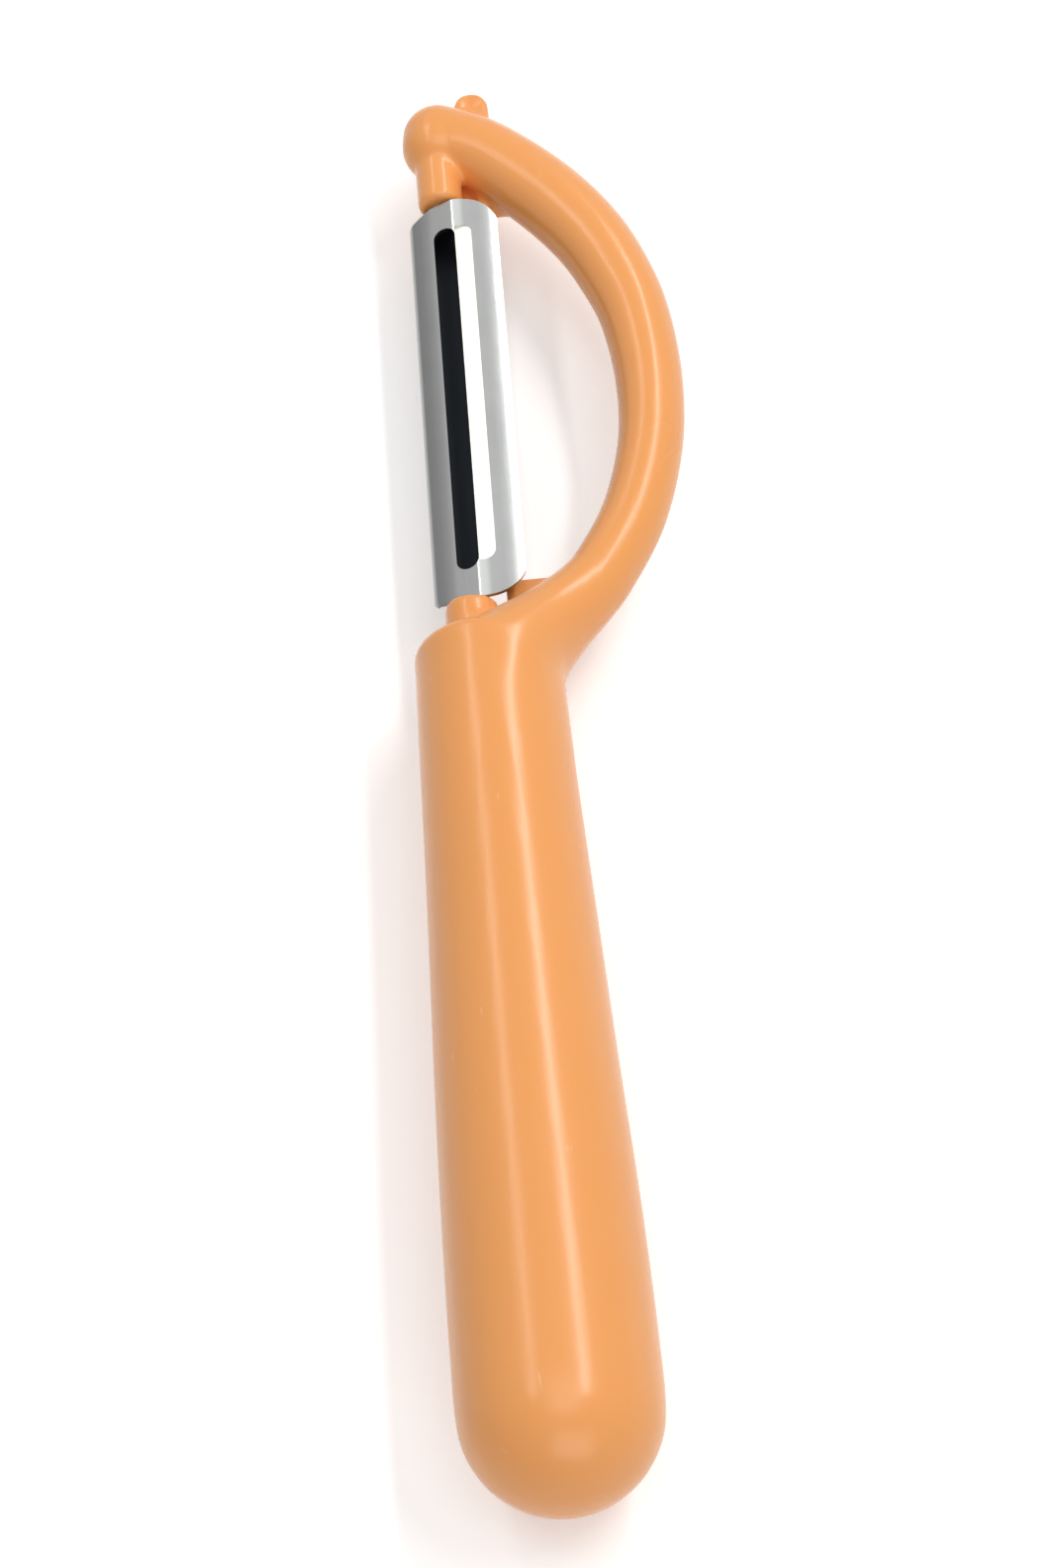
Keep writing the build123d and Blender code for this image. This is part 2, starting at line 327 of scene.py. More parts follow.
def new_material(name):
    """A fresh node material with its tree and shader."""
    material = bpy.data.materials.new(name)
    material.use_nodes = True
    tree = material.node_tree
    shader = next(node for node in tree.nodes if node.type == "BSDF_PRINCIPLED")
    return material, tree, shader


def join(tree, source, target):
    """Links one socket to another."""
    tree.links.new(source, target)


def feed(tree, given, target):
    """Links a given socket to another, or sets that one to a given value."""
    if isinstance(given, NodeSocket):
        join(tree, given, target)
    else:
        target.default_value = given


def object_place(tree):
    """The place of a point on its object."""
    return tree.nodes.new("ShaderNodeTexCoord").outputs["Object"]


def stretched(tree, place, scale):
    """A place stretched along the axes."""
    node = tree.nodes.new("ShaderNodeMapping")
    node.inputs["Scale"].default_value = scale
    join(tree, place, node.inputs["Vector"])
    return node.outputs["Vector"]


def noise(tree, place, scale, detail):
    """Cloudy noise at a place."""
    node = tree.nodes.new("ShaderNodeTexNoise")
    node.inputs["Scale"].default_value = scale
    node.inputs["Detail"].default_value = detail
    join(tree, place, node.inputs["Vector"])
    return node.outputs["Fac"]


def spread(tree, value, low, high, given_low=0, given_high=1, soft=False):
    """A value taken from its given range to a new one, with soft ends if asked."""
    node = tree.nodes.new("ShaderNodeMapRange")
    node.interpolation_type = "SMOOTHSTEP" if soft else "LINEAR"
    node.inputs["From Min"].default_value = given_low
    node.inputs["From Max"].default_value = given_high
    node.inputs["To Min"].default_value = low
    node.inputs["To Max"].default_value = high
    join(tree, value, node.inputs["Value"])
    return node.outputs["Result"]


def mixed(tree, part, first, second, way="MIX"):
    """Two colours mixed, where part is the second one's share."""
    node = tree.nodes.new("ShaderNodeMix")
    node.data_type = "RGBA"
    node.blend_type = way
    feed(tree, part, node.inputs["Factor"])
    feed(tree, first, node.inputs["A"])
    feed(tree, second, node.inputs["B"])
    return node.outputs["Result"]


def math_step(tree, operation, *values):
    """One step of sums on sockets."""
    node = tree.nodes.new("ShaderNodeMath")
    node.operation = operation
    for value, socket in zip(values, node.inputs):
        join(tree, value, socket)
    return node.outputs["Value"]


def bump(tree, height, strength, distance, under=None):
    """A bump from a height, on top of another one if given."""
    node = tree.nodes.new("ShaderNodeBump")
    node.inputs["Strength"].default_value = strength
    node.inputs["Distance"].default_value = distance
    join(tree, height, node.inputs["Height"])
    if under is not None:
        join(tree, under, node.inputs["Normal"])
    return node.outputs["Normal"]


def plastic_material(settings):
    """Moulded orange plastic: faint flow shades, light scuffs, a fine skin and a parting line."""
    material, tree, shader = new_material("moulded_plastic")
    place = object_place(tree)
    flow = noise(tree, place, scale=30, detail=2)
    depth = spread(tree, flow, 0, 0.12, given_low=0.2, given_high=0.8, soft=True)
    shades = mixed(tree, depth, (*settings.plastic, 1), (*settings.deep, 1))
    scuffs = noise(tree, stretched(tree, place, (1, 0.22, 1)), scale=900, detail=4)
    worn = spread(tree, scuffs, 0, 0.3, given_low=0.70, given_high=0.78, soft=True)
    join(tree, mixed(tree, worn, shades, (*settings.scuff, 1)), shader.inputs["Base Color"])

    split = tree.nodes.new("ShaderNodeSeparateXYZ")
    join(tree, place, split.inputs["Vector"])
    height = math_step(tree, "ABSOLUTE", split.outputs["Z"])
    seam = spread(tree, height, 1, 0, given_high=settings.seam, soft=True)
    seam_bump = bump(tree, seam, strength=0.5, distance=0.08 * MM)
    skin = noise(tree, place, scale=900, detail=3)
    skin_bump = bump(tree, skin, strength=0.25, distance=0.03 * MM, under=seam_bump)
    join(tree, skin_bump, shader.inputs["Normal"])

    dullness = spread(tree, flow, settings.roughness - 0.04, settings.roughness + 0.08)
    join(tree, dullness, shader.inputs["Roughness"])
    shader.inputs["Specular IOR Level"].default_value = 0.45
    shader.inputs["Subsurface Weight"].default_value = 0.12
    shader.inputs["Subsurface Radius"].default_value = (1.0, 0.4, 0.15)
    shader.inputs["Subsurface Scale"].default_value = 1.5 * MM
    return material


def painted_light_ramp(tree, light_bands):
    """The brightness of the painted light and shade bands at a place across the strip."""
    low, high = light_bands[0][0], light_bands[-1][0]
    strip = tree.nodes.new("ShaderNodeAttribute")
    strip.attribute_name = "across_strip"
    bands = tree.nodes.new("ShaderNodeValToRGB")
    stops = bands.color_ramp.elements
    while len(stops) < len(light_bands):
        stops.new(0.5)
    for stop, (across, shine) in zip(stops, light_bands):
        stop.position = (across - low) / (high - low)
        stop.color = (shine, shine, shine, 1)
    span = spread(tree, strip.outputs["Fac"], 0, 1, given_low=low, given_high=high)
    join(tree, span, bands.inputs["Fac"])
    return bands.outputs["Color"]


def steel_material(name, colour, roughness, grain_along=True, light_bands=None):
    """Steel with fine lines along the strip or across it, and with painted bands of reflection and shade if
    given.
    """
    material, tree, shader = new_material(name)
    place = object_place(tree)
    grain = (1, 0.02, 1) if grain_along else (0.05, 1, 0.05)
    lines = noise(tree, stretched(tree, place, grain), scale=9000, detail=4)
    cloud = noise(tree, place, scale=160, detail=3)
    clouded = [CLOUD_SHADE * part for part in colour]
    skin = mixed(tree, cloud, (*colour, 1), (*clouded, 1))
    # Painted reflections and shade, in bands across the strip
    if light_bands:
        skin = mixed(tree, 1, skin, painted_light_ramp(tree, light_bands), way="MULTIPLY")
    join(tree, skin, shader.inputs["Base Color"])
    dullness = spread(tree, lines, max(roughness - 0.06, 0.05), roughness + 0.08)
    join(tree, dullness, shader.inputs["Roughness"])
    join(tree, bump(tree, lines, strength=0.15, distance=0.01 * MM), shader.inputs["Normal"])
    shader.inputs["Metallic"].default_value = 1
    return material


def link_new(name, data):
    """A new object in the scene from its mesh, lamp or camera."""
    piece = bpy.data.objects.new(name, data)
    bpy.context.scene.collection.objects.link(piece)
    return piece


def settle(piece):
    """Turns the piece's modifiers into its mesh."""
    shapes = bpy.context.evaluated_depsgraph_get()
    shapes.update()
    final = bpy.data.meshes.new_from_object(piece.evaluated_get(shapes))
    if not final.polygons:
        raise RuntimeError(f"{piece.name} has no faces left")
    piece.modifiers.clear()
    piece.data = final


def take_mesh(piece):
    """The mesh of a scratch object, which is removed."""
    mesh = piece.data
    bpy.data.objects.remove(piece)
    return mesh


def cut(piece, mesh, operation):
    """Cuts the piece with another solid, or joins the two."""
    tool = link_new("cutter", mesh)
    step = piece.modifiers.new("cut", "BOOLEAN")
    step.operation = operation
    step.solver = "EXACT"
    step.object = tool
    settle(piece)
    bpy.data.objects.remove(tool)


def bmesh_to_mesh(name, shape):
    """A mesh from a bmesh, which is freed."""
    mesh = bpy.data.meshes.new(name)
    shape.to_mesh(mesh)
    shape.free()
    return mesh


def one_mesh(name, meshes):
    """All the meshes as one."""
    shape = bmesh.new()
    for mesh in meshes:
        shape.from_mesh(mesh)
    return bmesh_to_mesh(name, shape)


def prism(name, outline, start, depth):
    """A solid from an outline of 3D points pushed along a vector."""
    shape = bmesh.new()
    low = [shape.verts.new(Vector(point) + start) for point in outline]
    face = shape.faces.new(low)
    pushed = bmesh.ops.extrude_face_region(shape, geom=[face])
    top = [item for item in pushed["geom"] if isinstance(item, bmesh.types.BMVert)]
    bmesh.ops.translate(shape, verts=top, vec=depth)
    bmesh.ops.recalc_face_normals(shape, faces=shape.faces)
    return bmesh_to_mesh(name, shape)


def upright(name, outline, low, high):
    """A solid from a flat outline, standing between two heights."""
    flat = [Vector((point.x, point.y, 0)) for point in outline]
    return prism(name, flat, Vector((0, 0, low)), Vector((0, 0, high - low)))


def arc_points(centre, radius, start, finish, steps):
    """Points along a flat arc, with angles in degrees."""
    points = []
    for step in range(steps + 1):
        angle = math.radians(start + (finish - start) * step / steps)
        x = centre[0] + radius * math.cos(angle)
        y = centre[1] + radius * math.sin(angle)
        points.append(Vector((x, y)))
    return points


def rounded_corner(before, corner, after, radius, steps):
    """Points along the arc that rounds a corner between its two neighbours."""
    here = Vector(corner)
    back = (Vector(before) - here).normalized()
    ahead = (Vector(after) - here).normalized()
    half = back.angle(ahead) / 2
    reach = radius / math.tan(half)
    centre = here + (back + ahead).normalized() * (radius / math.sin(half))
    start = here + back * reach - centre
    angle = start.angle_signed(here + ahead * reach - centre)
    return [centre + Matrix.Rotation(-angle * step / steps, 2) @ start for step in range(steps + 1)]


def bent_line(points, radii):
    """A flat line through the points, with every inner corner bent to its own radius."""
    line = [Vector(points[0])]
    for before, corner, after, radius in zip(points, points[1:], points[2:], radii):
        line += rounded_corner(before, corner, after, radius, BEND_STEPS)
    line.append(Vector(points[-1]))
    return line


def rounded_outline(corners):
    """A closed flat outline from corners (x, y, radius), where a radius of 0 keeps the corner."""
    outline = []
    for index, (x, y, radius) in enumerate(corners):
        if radius == 0:
            outline.append(Vector((x, y)))
            continue
        before = corners[index - 1][:2]
        after = corners[(index + 1) % len(corners)][:2]
        outline += rounded_corner(before, (x, y), after, radius, CORNER_STEPS)
    return outline


def offset_line(line, distance):
    """The line moved sideways by a distance."""
    moved = []
    for index, point in enumerate(line):
        before = line[max(index - 1, 0)]
        after = line[min(index + 1, len(line) - 1)]
        along = (after - before).normalized()
        moved.append(point + Vector((-along.y, along.x)) * distance)
    return moved


def sweep_tree():
    """A node tree that sweeps an oval along a line whose points carry its half width and half depth."""
    tree = bpy.data.node_groups.new("oval_sweep", "GeometryNodeTree")
    for name, kind in (("Line", "Geometry"), ("Steps", "Int"), ("Sides", "Int"), ("Finish", "Material")):
        tree.interface.new_socket(name, in_out="INPUT", socket_type=f"NodeSocket{kind}")
    tree.interface.new_socket("Form", in_out="OUTPUT", socket_type="NodeSocketGeometry")
    nodes = tree.nodes
    given = nodes.new("NodeGroupInput")
    line = nodes.new("GeometryNodeMeshToCurve")
    smooth_line = nodes.new("GeometryNodeCurveSplineType")
    smooth_line.spline_type = "CATMULL_ROM"
    fine_line = nodes.new("GeometryNodeSetSplineResolution")
    wide = nodes.new("GeometryNodeInputNamedAttribute")
    wide.inputs["Name"].default_value = "half_width"
    deep = nodes.new("GeometryNodeInputNamedAttribute")
    deep.inputs["Name"].default_value = "half_depth"
    ring = nodes.new("GeometryNodeCurvePrimitiveCircle")
    ring.inputs["Radius"].default_value = 1
    sweep = nodes.new("GeometryNodeCurveToMesh")
    sweep.inputs["Fill Caps"].default_value = True
    place = nodes.new("GeometryNodeInputPosition")
    split = nodes.new("ShaderNodeSeparateXYZ")
    together = nodes.new("ShaderNodeCombineXYZ")
    oval = nodes.new("GeometryNodeSetPosition")
    real = nodes.new("GeometryNodeRealizeInstances")
    paint = nodes.new("GeometryNodeSetMaterial")
    result = nodes.new("NodeGroupOutput")

    join(tree, given.outputs["Line"], line.inputs["Mesh"])
    join(tree, line.outputs["Curve"], smooth_line.inputs["Curve"])
    join(tree, smooth_line.outputs["Curve"], fine_line.inputs["Geometry"])
    join(tree, given.outputs["Steps"], fine_line.inputs["Resolution"])
    join(tree, given.outputs["Sides"], ring.inputs["Resolution"])
    join(tree, fine_line.outputs["Geometry"], sweep.inputs["Curve"])
    join(tree, ring.outputs["Curve"], sweep.inputs["Profile Curve"])
    join(tree, wide.outputs["Attribute"], sweep.inputs["Scale"])

    join(tree, place.outputs["Position"], split.inputs["Vector"])
    flatness = math_step(tree, "DIVIDE", deep.outputs["Attribute"], wide.outputs["Attribute"])
    height = math_step(tree, "MULTIPLY", split.outputs["Z"], flatness)
    join(tree, split.outputs["X"], together.inputs["X"])
    join(tree, split.outputs["Y"], together.inputs["Y"])
    join(tree, height, together.inputs["Z"])
    join(tree, sweep.outputs["Mesh"], oval.inputs["Geometry"])
    join(tree, together.outputs["Vector"], oval.inputs["Position"])

    join(tree, oval.outputs["Geometry"], real.inputs["Geometry"])
    join(tree, real.outputs["Geometry"], paint.inputs["Geometry"])
    join(tree, given.outputs["Finish"], paint.inputs["Material"])
    join(tree, paint.outputs["Geometry"], result.inputs["Form"])
    return tree


def swept(tree, stations, finish, steps=10, sides=96):
    """The mesh of an oval swept through stations (x, y, half width, half depth), in metres."""
    mesh = bpy.data.meshes.new("line")
    places = [(x, y, 0) for x, y, _, _ in stations]
    mesh.from_pydata(places, [(index, index + 1) for index in range(len(places) - 1)], [])
    wide = mesh.attributes.new("half_width", "FLOAT", "POINT")
    wide.data.foreach_set("value", [station[2] for station in stations])
    deep = mesh.attributes.new("half_depth", "FLOAT", "POINT")
    deep.data.foreach_set("value", [station[3] for station in stations])
    carrier = link_new("line", mesh)
    modifier = carrier.modifiers.new("sweep", "NODES")
    modifier.node_group = tree
    values = {"Steps": steps, "Sides": sides, "Finish": finish}
    for socket in tree.interface.items_tree:
        if socket.in_out == "INPUT" and socket.name in values:
            modifier[socket.identifier] = values[socket.name]
    settle(carrier)
    return take_mesh(carrier)


def rounded_end(x, y, way, radius, reach):
    """Stations of a rounded end past a place, narrowing along a flat direction."""
    stations = []
    for degrees in END_ANGLES:
        angle = math.radians(degrees)
        ahead = reach * math.sin(angle)
        narrow = radius * math.cos(angle)
        stations.append((x + way[0] * ahead, y + way[1] * ahead, narrow, narrow))
    return stations


def round_boss(tree, finish, x, foot, face, radius, rim):
    """A round boss from its foot to its face, with a softened rim."""
    way = math.copysign(1, face - foot)
    stations = [(x, foot, radius, radius), (x, face - way * rim, radius, radius)]
    for degrees in RIM_ANGLES:
        angle = math.radians(degrees)
        ahead = face - way * rim * (1 - math.sin(angle))
        narrow = radius - rim * (1 - math.cos(angle))
        stations.append((x, ahead, narrow, narrow))
    return swept(tree, stations, finish, steps=1)


class PEELER_OT_body(Operator):
    """Makes the moulded body: handle, bow arm, head, bosses, rib, web, wall and tongue"""

    bl_idname = "peeler.make_body"
    bl_label = "Moulded body"

    def execute(self, context):
        settings = context.scene.peeler_body
        finish = plastic_material(settings)
        tree = sweep_tree()
        forms = [
            self.handle(settings, tree, finish),
            self.arm(tree, finish),
            self.head(settings, tree, finish),
            self.low_boss(settings, tree, finish),
            self.high_boss(settings, tree, finish),
            self.plate(settings, settings.plate_front, RIB),
            self.plate(settings, settings.plate_front, WEB),
            self.plate(settings, settings.wall_front, WALL),
            self.tongue(settings),
        ]
        body = link_new("moulded_body", one_mesh("moulded_body", forms))
        self.mould(body, settings)
        body.data.materials.clear()
        body.data.materials.append(finish)
        body.data.polygons.foreach_set("use_smooth", [True] * len(body.data.polygons))
        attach(body, "handle")
        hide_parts("handle_and_bow")
        return {"FINISHED"}

    @staticmethod
    def handle(settings, tree, finish):
        """The turned handle: rounded butt, long taper and rounded shoulder."""
        x, low, butt = (value * MM for value in TAPER[0])
        stations = rounded_end(x, low, (0, -1), butt, settings.butt_cap)[::-1]
        stations += [(x * MM, y * MM, radius * MM, radius * MM) for x, y, radius in TAPER]
        x, _, neck = (value * MM for value in TAPER[-1])
        top = settings.handle_top - settings.shoulder
        for degrees in SHOULDER_ANGLES:
            angle = math.radians(degrees)
            radius = neck - settings.shoulder * (1 - math.cos(angle))
            stations.append((x, top + settings.shoulder * math.sin(angle), radius, radius))
        return swept(tree, stations, finish, sides=180)

    @staticmethod
    def arm(tree, finish):
        """The bow arm, from inside the handle to the rounded head."""
        stations = [tuple(value * MM for value in station) for station in ARM]
        x, y, radius, _ = stations[-1]
        way = (Vector((x, y)) - Vector(stations[-2][:2])).normalized()
        stations += rounded_end(x, y, way, radius, radius)
        return swept(tree, stations, finish)

    @staticmethod
    def head(settings, tree, finish):
        """The head's ball, over the upper boss."""
        x, y, radius = settings.head_across, settings.head_place, settings.head_radius
        stations = rounded_end(x, y, (0, -1), radius, radius)[::-1]
        stations.append((x, y, radius, radius))
        stations += rounded_end(x, y, (0, 1), radius, radius)
        return swept(tree, stations, finish)

    @staticmethod
    def low_boss(settings, tree, finish):
        """The boss on the handle's top."""
        foot = settings.handle_top - BOSS_SUNK * MM
        x, face, radius = settings.low_boss_across, settings.low_boss_face, settings.low_boss_radius
        return round_boss(tree, finish, x, foot, face, radius, LOW_BOSS_RIM * MM)

    @staticmethod
    def high_boss(settings, tree, finish):
        """The boss under the head."""
        foot = (ARM[-1][1] + BOSS_SUNK) * MM
        x, face, radius = settings.high_boss_across, settings.high_boss_face, settings.high_boss_radius
        return round_boss(tree, finish, x, foot, face, radius, HIGH_BOSS_RIM * MM)

    @staticmethod
    def plate(settings, front, corners):
        """A flat plate behind the blade: the stop rib, the web by the head or the wall beside it."""
        outline = [Vector(corner) * MM for corner in corners]
        return upright("plate", outline, settings.plate_back, front)

    @staticmethod
    def tongue(settings):
        """The rounded tongue with a shallow dish in its front."""
        half, deep = settings.tongue_width / 2, settings.tongue_depth
        x, y = settings.tongue_across, settings.tongue_tip - half
        root = y - TONGUE_STRAIGHT * MM
        outline = arc_points((x, y), half, 0, 180, ARC_STEPS)
        outline += [Vector((x - half, root)), Vector((x + half, root))]
        tongue = link_new("tongue", upright("tongue", outline, -deep / 2, deep / 2))
        rims = tongue.modifiers.new("rims", "BEVEL")
        rims.width = TONGUE_RIM * MM
        rims.segments = 4
        rims.limit_method = "ANGLE"
        rims.angle_limit = math.radians(50)
        settle(tongue)
        radius = settings.dish_radius
        put = Matrix.Translation((x, y, deep / 2 + radius - settings.dish))
        ball = bmesh.new()
        bmesh.ops.create_uvsphere(ball, u_segments=48, v_segments=32, radius=radius, matrix=put)
        cut(tongue, bmesh_to_mesh("dish", ball), "DIFFERENCE")
        return take_mesh(tongue)

    @classmethod
    def mould(cls, body, settings):
        """Makes the joined forms one even skin and eases its corners and the arm's hollow."""
        even = body.modifiers.new("even", "REMESH")
        even.mode = "VOXEL"
        even.voxel_size = settings.grain
        even.adaptivity = 0
        settle(body)
        cls.mark_flow(body)
        flow = body.modifiers.new("flow", "SMOOTH")
        flow.factor = 0.6
        flow.iterations = settings.flow
        flow.vertex_group = "flow"
        soft = body.modifiers.new("soft", "SMOOTH")
        soft.factor = 0.5
        soft.iterations = settings.ease
        settle(body)
        body.vertex_groups.clear()

    @staticmethod
    def mark_flow(body):
        """Marks the front, the back and the side of the hollow between the handle and the arm."""
        group = body.vertex_groups.new(name="flow")
        low, high = (Vector(end) * MM for end in HOLLOW_ENDS)
        side_x, side_y = (value * MM for value in HOLLOW_SIDE)
        for vertex in body.data.vertices:
            here = vertex.co.to_2d()
            along = min(max((here - low).dot(high - low) / (high - low).length_squared, 0), 1)
            away = (here - low - (high - low) * along).length / (HOLLOW_REACH * MM)
            on_face = abs(vertex.co.z) > HOLLOW_HEIGHT * MM
            on_side = here.x > side_x and here.y < side_y
            if away < 1 and (on_face or on_side):
                group.add([vertex.index], (1 - away**2) ** 2, "REPLACE")


class PEELER_OT_blade(Operator):
    """Makes the bent steel blade with its slot, ground bevel and two ears"""

    bl_idname = "peeler.make_blade"
    bl_label = "Blade"

    def execute(self, context):
        settings = context.scene.peeler_blade
        low, high, _ = self.span(settings)
        blade = link_new("blade_strip", self.strip(settings))
        cut(blade, self.plan(settings), "INTERSECT")
        cut(blade, self.rear_trim(settings), "DIFFERENCE")
        for start in (low + EAR_INSET * MM, high - EAR_INSET * MM - settings.sheet):
            cut(blade, self.ear(settings, start), "UNION")
        cut(blade, self.slot(settings), "DIFFERENCE")
        cut(blade, self.grinder(settings), "DIFFERENCE")
        self.paint(blade.data, settings)
        self.round_rims(blade, settings)
        self.mark_strip(blade.data, settings)
        self.tilt(blade.data, settings)
        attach(blade, "blade")
        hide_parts("swivel_blade")
        return {"FINISHED"}

    @staticmethod
    def span(settings):
        """Places of the blade's low end, high end and middle along the tool."""
        low = settings.low_end
        high = low + settings.strip_length
        return low, high, (low + high) / 2

    @classmethod
    def strip(cls, settings):
        """The strip bent through its section and running the blade's whole length."""
        across, half = settings.pivot_across, settings.sheet / 2
        low, high, _ = cls.span(settings)
        middle = bent_line([Vector(point) * MM for point in SECTION], [radius * MM for radius in BENDS])
        ring = offset_line(middle, -half) + offset_line(middle, half)[::-1]
        outline = [Vector((across + point.x, 0, point.y)) for point in ring]
        return prism("blade_strip", outline, Vector((0, low, 0)), Vector((0, high - low, 0)))

    @classmethod
    def plan(cls, settings):
        """The blade's outline from the front, with crowned ends and rounded corners."""
        crown, guard = CROWN * MM, GUARD_CORNER * MM
        crown_x = settings.pivot_across + CROWN_SHIFT * MM
        left = settings.pivot_across + (SECTION[4][0] - GUARD_MARGIN) * MM
        right = settings.pivot_across + (SECTION[0][0] + WING_MARGIN) * MM
        low, high, _ = cls.span(settings)
        corners = []
        for edge, way, wing in ((high, 1, HIGH_WING_CORNER * MM), (low, -1, LOW_WING_CORNER * MM)):
            row = []
            for step in range(CROWN_STEPS + 1):
                x = left + (right - left) * step / CROWN_STEPS
                y = edge - way * (crown - math.sqrt(crown**2 - (x - crown_x) ** 2))
                if step == 0:
                    row.append((x, y, guard))
                elif step == CROWN_STEPS:
                    row.append((x, y, wing))
                elif left + guard < x < right - wing:
                    row.append((x, y, 0))
            corners += row[::way]
        return upright("plan", rounded_outline(corners), -STEEL_OVERRUN * MM, STEEL_OVERRUN * MM)

    @staticmethod
    def rear_trim(settings):
        """The block that cuts the rear wall short by the handle."""
        left, right = settings.pivot_across - TRIM_HALF * MM, settings.pivot_across + TRIM_HALF * MM
        start, finish = settings.low_end - END_OVERRUN * MM, settings.low_end + TRIM_LENGTH * MM
        corners = [(left, start), (right, start), (right, finish), (left, finish)]
        return upright("rear_trim", [Vector(corner) for corner in corners], TRIM_REAR * MM, TRIM_FRONT * MM)

    @staticmethod
    def ear(settings, start):
        """A small plate across the fold that turns on a pin."""
        across, sheet = settings.pivot_across, settings.sheet
        outline = [
            (-EAR_HALF, SECTION[5][1]),
            (EAR_HALF, SECTION[5][1]),
            (EAR_HALF, CREST),
            (SECTION[2][0], CREST),
            SECTION[3],
            (-EAR_HALF, SECTION[3][1] - EAR_DROP),
        ]
        flat = [Vector((across + x * MM, 0, z * MM)) for x, z in outline]
        ear = link_new("ear", prism("ear", flat, Vector((0, start, 0)), Vector((0, sheet, 0))))
        ring = arc_points((0, 0), EAR_BORE * MM, 0, 360, BORE_SIDES)[:-1]
        bore = [Vector((across + point.x, 0, point.y)) for point in ring]
        drill = prism("bore", bore, Vector((0, start - sheet, 0)), Vector((0, 3 * sheet, 0)))
        cut(ear, drill, "DIFFERENCE")
        return take_mesh(ear)

    @classmethod
    def slot(cls, settings):
        """The long slot with round ends, through the front of the fold only."""
        half = settings.slot_width / 2
        straight = settings.slot_length / 2 - half
        x = settings.pivot_across + SLOT_SHIFT * MM
        _, _, middle = cls.span(settings)
        outline = arc_points((x, middle + straight), half, 0, 180, ARC_STEPS)
        outline += arc_points((x, middle - straight), half, 180, 360, ARC_STEPS)
        return upright("slot", outline, 0, STEEL_OVERRUN * MM)

    @classmethod
    def grinder(cls, settings):
        """The wedge that grinds the bevel beside the slot, with rounded far corners."""
        across, sheet = settings.pivot_across, settings.sheet
        _, _, middle = cls.span(settings)
        inner, outer = SLOT_SHIFT * MM + settings.slot_width / 2, BEVEL_REACH * MM
        top = CREST * MM + sheet / 2
        wedge = [
            Vector((across + outer, 0, top)),
            Vector((across + inner, 0, top - sheet + BEVEL_EDGE * MM)),
            Vector((across + inner, 0, top + sheet)),
            Vector((across + outer, 0, top + sheet)),
        ]
        low = middle - settings.slot_length / 2 + BEVEL_START * MM
        long = settings.slot_length - BEVEL_START * MM
        grinder = link_new("wedge", prism("wedge", wedge, Vector((0, low, 0)), Vector((0, long, 0))))
        left, right = across - BEVEL_OVERLAP * MM, across + outer
        corners = [
            (left, low, 0),
            (right, low, BEVEL_LOW_CORNER * MM),
            (right, low + long, BEVEL_HIGH_CORNER * MM),
            (left, low + long, 0),
        ]
        cut(grinder, upright("reach", rounded_outline(corners), 0, STEEL_OVERRUN * MM), "INTERSECT")
        return take_mesh(grinder)

    @staticmethod
    def paint(mesh, settings):
        """Gives each face its steel: polished outside with painted light bands, a near-black painted shade
        inside the fold, ground on the bevel.
        """
        across = settings.pivot_across
        # The outer steel carries painted bands of reflection and shade
        polished = steel_material("polished_steel_painted_bands", settings.steel, settings.roughness, light_bands=PAINTED_LIGHT_BANDS)
        # Near-black steel inside the fold: painted shade, not the steel's own colour
        painted_shade = steel_material("painted_shade_inside", settings.painted_inside_shade, roughness=0.5)
        ground = steel_material("ground_edge", settings.ground, roughness=0.45, grain_along=False)
        # Lighter steel on the rims: painted highlight
        glint_painted = steel_material("painted_highlight_rims", settings.rims, roughness=0.3)
        mesh.materials.clear()
        for material in (polished, painted_shade, ground, glint_painted):
            mesh.materials.append(material)
        drop = settings.sheet - BEVEL_EDGE * MM
        run = (BEVEL_REACH - SLOT_SHIFT) * MM - settings.slot_width / 2
        slope = Vector((-drop, 0, run)).normalized()
        middle = Vector(FOLD_MIDDLE) * MM
        for face in mesh.polygons:
            place = Vector((face.center.x - across, 0, face.center.z))
            inward = face.normal.dot(middle - place) > LOOKS_INWARD * (middle - place).length
            if face.normal.dot(slope) > ON_BEVEL and 0 < place.x < BEVEL_REACH * MM:
                face.material_index = GROUND
            # Faces inside the fold and on its rear wall get the near-black painted shade
            elif face.normal.z > LOOKS_ALONG and place.z < FOLD_REAR * MM:
                face.material_index = SHADE_PAINTED_INSIDE
            elif inward and abs(face.normal.y) < LOOKS_ALONG and place.z < FOLD_FRONT * MM:
                face.material_index = SHADE_PAINTED_INSIDE
            else:
                face.material_index = POLISHED

    @staticmethod
    def round_rims(blade, settings):
        """Rounds the sheared rims a little and gives them a lighter steel, a painted highlight."""
        rims = blade.modifiers.new("rims", "BEVEL")
        rims.width = settings.rim_round
        rims.segments = 2
        rims.limit_method = "ANGLE"
        rims.angle_limit = math.radians(35)
        rims.material = RIM_HIGHLIGHT
        settle(blade)
        blade.data.polygons.foreach_set("use_smooth", [False] * len(blade.data.polygons))

    @staticmethod
    def mark_strip(mesh, settings):
        """Notes each point's place across the strip, in mm from the pivot, for the painted light and shade
        bands.
        """
        places = [(vertex.co.x - settings.pivot_across) / MM for vertex in mesh.vertices]
        mesh.attributes.new("across_strip", "FLOAT", "POINT").data.foreach_set("value", places)

    @classmethod
    def tilt(cls, mesh, settings):
        """Leans the blade on its pins."""
        _, _, middle = cls.span(settings)
        centre = Matrix.Translation((settings.pivot_across, middle, 0))
        mesh.transform(centre @ Matrix.Rotation(settings.lean, 4, "Z") @ centre.inverted())


